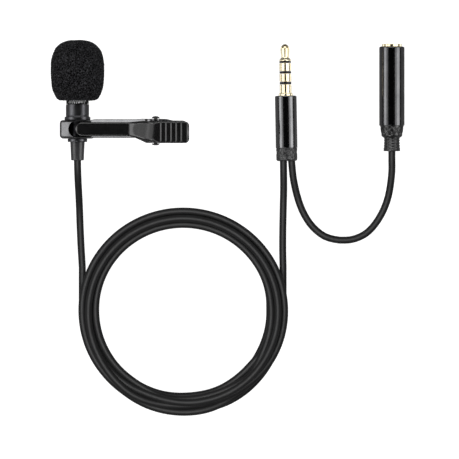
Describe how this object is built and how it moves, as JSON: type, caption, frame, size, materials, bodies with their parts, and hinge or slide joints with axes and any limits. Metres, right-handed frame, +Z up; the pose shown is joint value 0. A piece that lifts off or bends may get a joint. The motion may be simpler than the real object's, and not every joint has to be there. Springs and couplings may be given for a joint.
{
  "type": "lavalier microphone",
  "caption": "Clip-on lavalier microphone with foam windscreen, swivelling spring clip, coiled lead, jack plug and a short branch lead ending in a jack socket.",
  "frame": {"origin": "on the surface the object lies on, under the middle of the microphone and its clip", "axes": "+Y along the microphone towards its windscreen, +X along the clip's arm from the microphone towards the grip, +Z up from the surface"},
  "size_m": [0.1039, 0.1105, 0.0167],
  "materials": {
    "foam": "open-cell matte",
    "satin_black": "satin",
    "gloss_black": "gloss",
    "bright_steel": "satin",
    "gold_plate": "polished",
    "soft_rubber": "matte",
    "black_plastic": "matte",
    "felt": "matte",
    "circuit_board": "matte",
    "copper_wire": "satin"
  },
  "bodies": {
    "microphone": {"grille_cap": "bright_steel", "grille_band": "bright_steel", "mic_housing": "satin_black", "retaining_collar": "satin_black", "strain_relief": "soft_rubber", "capsule": "bright_steel", "capsule_gasket": "soft_rubber", "capsule_felt": "felt", "capsule_board": "circuit_board", "signal_wire": "copper_wire", "ground_wire": "copper_wire", "cable_mic_lead": "soft_rubber", "cable_coil": "soft_rubber", "cable_plug_lead": "soft_rubber", "cable_pigtail": "soft_rubber", "plug_tip": "gold_plate", "plug_insulator_1": "black_plastic", "plug_ring_1": "gold_plate", "plug_insulator_2": "black_plastic", "plug_ring_2": "gold_plate", "plug_insulator_3": "black_plastic", "plug_sleeve": "gold_plate", "plug_terminal_block": "black_plastic", "plug_shell": "gloss_black", "plug_boot": "soft_rubber", "socket_bushing": "gold_plate", "socket_shell": "gloss_black", "socket_moulding": "black_plastic", "socket_contact_sleeve": "gold_plate", "socket_contact_ring_2": "gold_plate", "socket_contact_ring_1": "gold_plate", "socket_contact_tip": "gold_plate", "socket_tail": "soft_rubber"},
    "windscreen": {"windscreen": "foam"},
    "clip": {"clip_holder": "gloss_black", "clip_pin": "satin_black", "clip_spring": "bright_steel"},
    "lever": {"clip_lever": "gloss_black"}
  },
  "joints": [
    {"name": "windscreen_pull", "type": "slide", "parent": "microphone", "child": "windscreen", "axis": [0, 1, 0], "range_m": [0, 0.0125]},
    {"name": "clip_swivel", "type": "hinge", "parent": "microphone", "child": "clip", "pos_m": [-0.0125, -0.00855, 0.00785], "axis": [0, 1, 0], "continuous": true},
    {"name": "lever_pivot", "type": "hinge", "parent": "clip", "child": "lever", "pos_m": [0.0105, -0.00855, 0.0116], "axis": [0, 1, 0], "range_deg": [0, 26], "stiffness_Nm_per_rad": 0.02, "springref_deg": -28.65, "deforming": ["clip_spring"]}
  ]
}
